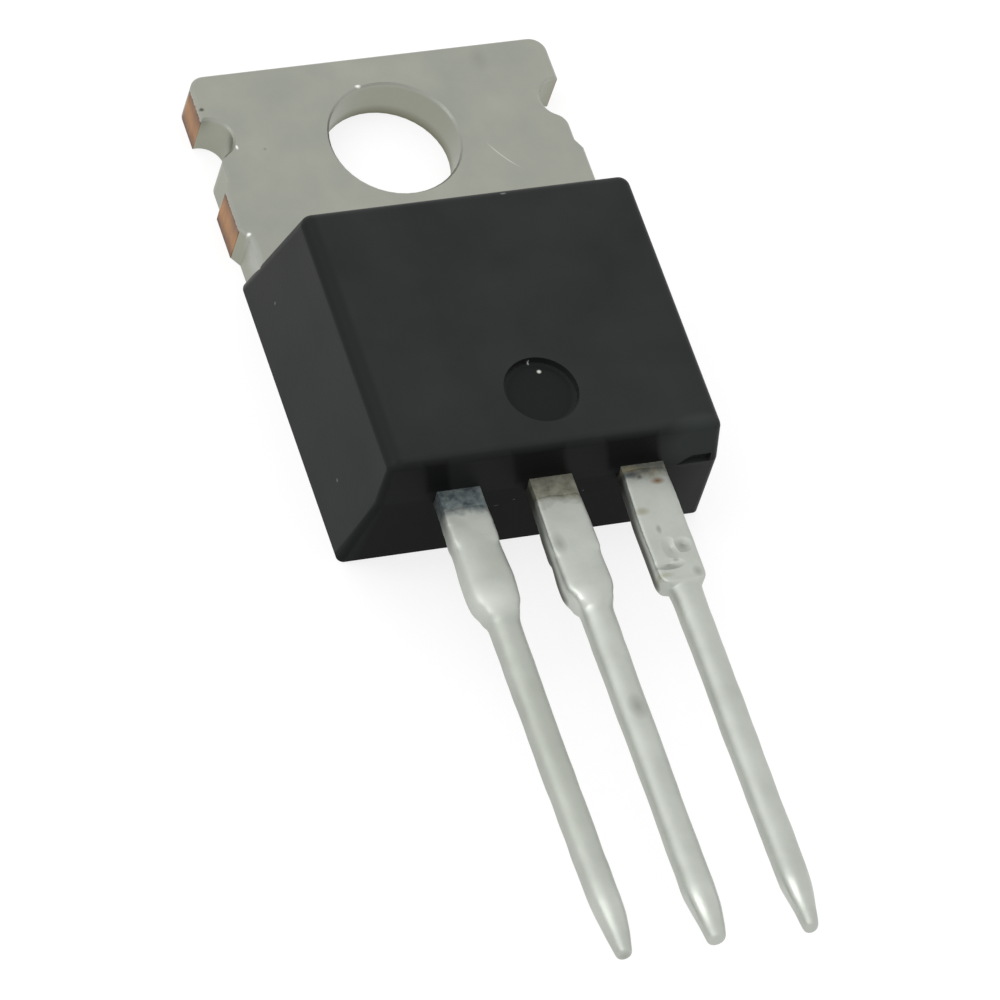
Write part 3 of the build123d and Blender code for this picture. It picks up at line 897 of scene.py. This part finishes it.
def round_off(coat):
    """Leave edit mode, round the coat off and make it a little uneven."""
    bpy.ops.mesh.select_mode(type="VERT")
    bpy.ops.object.mode_set(mode="OBJECT")
    rounded = coat.modifiers.new("rounded", "SUBSURF")
    rounded.levels = rounded.render_levels = 4
    bpy.ops.object.modifier_apply(modifier=rounded.name)
    uneven = coat.modifiers.new("uneven", "DISPLACE")
    uneven.texture = uneven_solder
    uneven.texture_coords = "LOCAL"
    uneven.strength = mm(0.04)
    uneven.mid_level = 0.25
    bpy.ops.object.modifier_apply(modifier=uneven.name)
    bpy.ops.object.shade_smooth()


print(f"waves of {uneven_solder.noise_scale / MM:.1f} mm")

# %% [markdown]
# ### The three coats
#
# The dips ended at different heights: the first two coats stop about half a millimetre short
# of the moulding, and the third starts right at it and stays flat up to its shoulder. Each
# coat rides with the part and is deselected before the next one, because an operator acts on
# all that is selected.

# %% The three coats


def dip_lead(name, centre_x, rings, start, drift, creases):
    """One lead's coat of solder; each crease has its first and last distance and its value."""
    coat = grow_coat(centre_x, rings, start, drift)
    coat.name = name
    for first, last, crease in creases:
        crease_lengthwise(coat, first, last, crease)
    round_off(coat)
    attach(coat, "root")
    print(name, len(coat.data.polygons), "faces")
    coat.select_set(False)
    return coat


base_coat = dip_lead("base_lead_solder", -PITCH, BASE_RINGS, 0.42, 0.06, (
    (0, 1.1, 0.85), (1.1, 1.9, 0.50), (1.9, 4.0, 0.30)))
collector_coat = dip_lead("collector_lead_solder", 0, COLLECTOR_RINGS, 0.45, 0.0, (
    (0, 1.4, 0.88), (1.4, 2.2, 0.56), (2.2, 4.0, 0.36)))
emitter_coat = dip_lead("emitter_lead_solder", PITCH, EMITTER_RINGS, 0.05, 0.0, (
    (0, 3.8, 0.90),))

# %% [markdown]
# ## The solder's colour
#
# Tin-lead solder that cooled in still air is a full metal, pale grey with a hint of green.
# Its tone drifts over a millimetre or two, and it keeps traces of the dip: dark and
# straw-coloured flakes of burnt flux and a scorched tip. Over them lie painted shade along
# the lower flanks, painted shade on the first lead's wide part with a greyer tone along its
# slim part, and painted highlights at two shoulders. All are spots, laid in this order.

# %% Colour of the dipped solder
FLAKES = (
    ((2.33, -14.44, 3.26), (0.06, 0.11, 0.3)),
    ((2.79, -14.99, 3.26), (0.13, 0.10, 0.3), 0.8),
    ((2.93, -15.86, 3.26), (0.09, 0.12, 0.3), 0.8),
    ((2.47, -15.43, 3.28), (0.07, 0.05, 0.3)),
    ((-0.44, -14.47, 3.26), (0.12, 0.22, 0.3), 0.9),
    ((0.04, -19.55, 3.30), (0.16, 0.24, 0.3), 0.8))
STRAW_FLAKES = (
    ((2.06, -13.84, 3.26), (0.16, 0.10, 0.3), 0.6),
    ((2.02, -15.86, 3.10), (0.22, 0.07, 0.3), 0.6))
SCORCHED_TIP = (((-PITCH + 0.06, -26.50, parting), (0.22, 0.14, 0.3)),)
# painted shade along the lower left flanks of the second and third leads
SHADED_FLANKS = (
    ((-0.69, -14.9, 2.76), (0.11, 1.6, 0.24), 0.4),
    ((PITCH - 0.69, -14.9, 2.80), (0.09, 1.7, 0.22), 0.4))
# painted shade on the first lead's wide part, and a greyer tone along its slim part
FIRST_LEAD_SHADE_AND_TONE = (
    ((-2.34, -14.85, 3.32), (0.32, 0.52, 0.4), 0.7),
    ((-PITCH, -19.8, 3.30), (0.7, 3.4, 0.6), 0.6))
# painted highlights on the shoulders of the first two leads
SHOULDER_HIGHLIGHTS = (
    ((-2.76, -15.85, 3.36), (0.42, 0.34, 0.4), 0.9),
    ((-0.32, -16.18, 3.30), (0.26, 0.24, 0.4), 0.9))
solder, tree, place = new_material("satin_dipped_tin_lead_solder")
cloud = add_node(tree, "ShaderNodeTexNoise", {
    "Vector": place, "Scale": 0.9, "Detail": 4.0, "Roughness": 0.55})
cloud = add_node(tree, "ShaderNodeMapRange", {"Value": cloud, "From Min": 0.3, "From Max": 0.7})
metal = add_node(tree, "ShaderNodeMix", {
    "Factor": cloud, "A": linear("#B4B8B1"), "B": linear("#C0C4BD")}, data_type="RGBA")
metal = painted(tree, metal, [
    (spots(tree, place, marks, strength), tint) for marks, strength, tint in (
        (FLAKES, 0.42, "#6C6E62"), (STRAW_FLAKES, 0.6, "#96937A"), (SCORCHED_TIP, 0.5, "#7B7566"),
        (SHADED_FLANKS, 0.9, "#3C3D33"), (FIRST_LEAD_SHADE_AND_TONE, 0.30, "#969A8E"), (SHOULDER_HIGHLIGHTS, 0.50, "#DCDFDA"))])
metal, stained = stained_roots(tree, place, metal)
# the pools counted here are the painted shoulder highlights
print(len(FLAKES) + len(STRAW_FLAKES), "flakes of flux and", len(SHOULDER_HIGHLIGHTS), "pools")

# %% [markdown]
# ## The solder's surface
#
# The solder is satin because it froze in tiny grains, which are drawn coarser than real by a
# bump, and it is shinier where much of it gathered: on the drops at the tips and at one
# shoulder. Flux that boiled off left three shallow dents in the emitter lead. They are
# pressed in by an inverted bump at known spots, because they are smaller than the mesh.

# %% Surface of the dipped solder
DROPS = (
    ((0, body_nose - 12.95, parting), (0.8, 0.45, 0.6)),
    ((PITCH, body_nose - 12.95, parting), (0.8, 0.45, 0.6)))
DULLER_DROPS = (
    ((-PITCH, body_nose - 12.7, parting), (0.8, 0.6, 0.6)),
    ((-0.25, body_nose - 3.75, lead_top), (0.6, 0.6, 0.5), 0.6))
DENTS = (
    ((2.25, -15.52, 3.26), (0.24, 0.10, 0.3), 0.9),
    ((2.79, -14.99, 3.26), (0.16, 0.13, 0.3), 0.9),
    ((2.45, -15.05, 3.26), (0.12, 0.20, 0.3), 0.9))
shiny = any_of(tree, (spots(tree, place, DROPS), spots(tree, place, DULLER_DROPS, 0.55)))
gloss = add_node(tree, "ShaderNodeMapRange", {"Value": cloud, "To Min": 0.50, "To Max": 0.56})
gloss = add_node(tree, "ShaderNodeMix", {"Factor": shiny, "A": gloss, "B": 0.32}, data_type="FLOAT")
gloss = add_node(tree, "ShaderNodeMix", {"Factor": stained, "A": gloss, "B": 0.62}, data_type="FLOAT")
frost = add_node(tree, "ShaderNodeTexNoise", {"Vector": place, "Scale": 7.0, "Detail": 3.0})
relief = add_node(tree, "ShaderNodeBump", {"Strength": 0.35, "Distance": mm(0.01), "Height": frost})
relief = add_node(tree, "ShaderNodeBump", {
    "Strength": 1.0, "Distance": mm(0.07), "Height": spots(tree, place, DENTS),
    "Normal": relief}, invert=True)
shader = add_node(tree, "ShaderNodeBsdfPrincipled", {
    "Base Color": metal, "Metallic": 1.0, "Roughness": gloss, "Normal": relief})
add_node(tree, "ShaderNodeOutputMaterial", {"Surface": shader})
for coat in (base_coat, collector_coat, emitter_coat):
    coat.data.materials.append(solder)
    print("solder on:", coat.name)

# %% [markdown]
# ## Finish
#
# The view transform stays plain, so that a colour renders as it was written.

# %% Finish
bpy.context.scene.view_settings.view_transform = "Standard"
print("view transform:", bpy.context.scene.view_settings.view_transform)
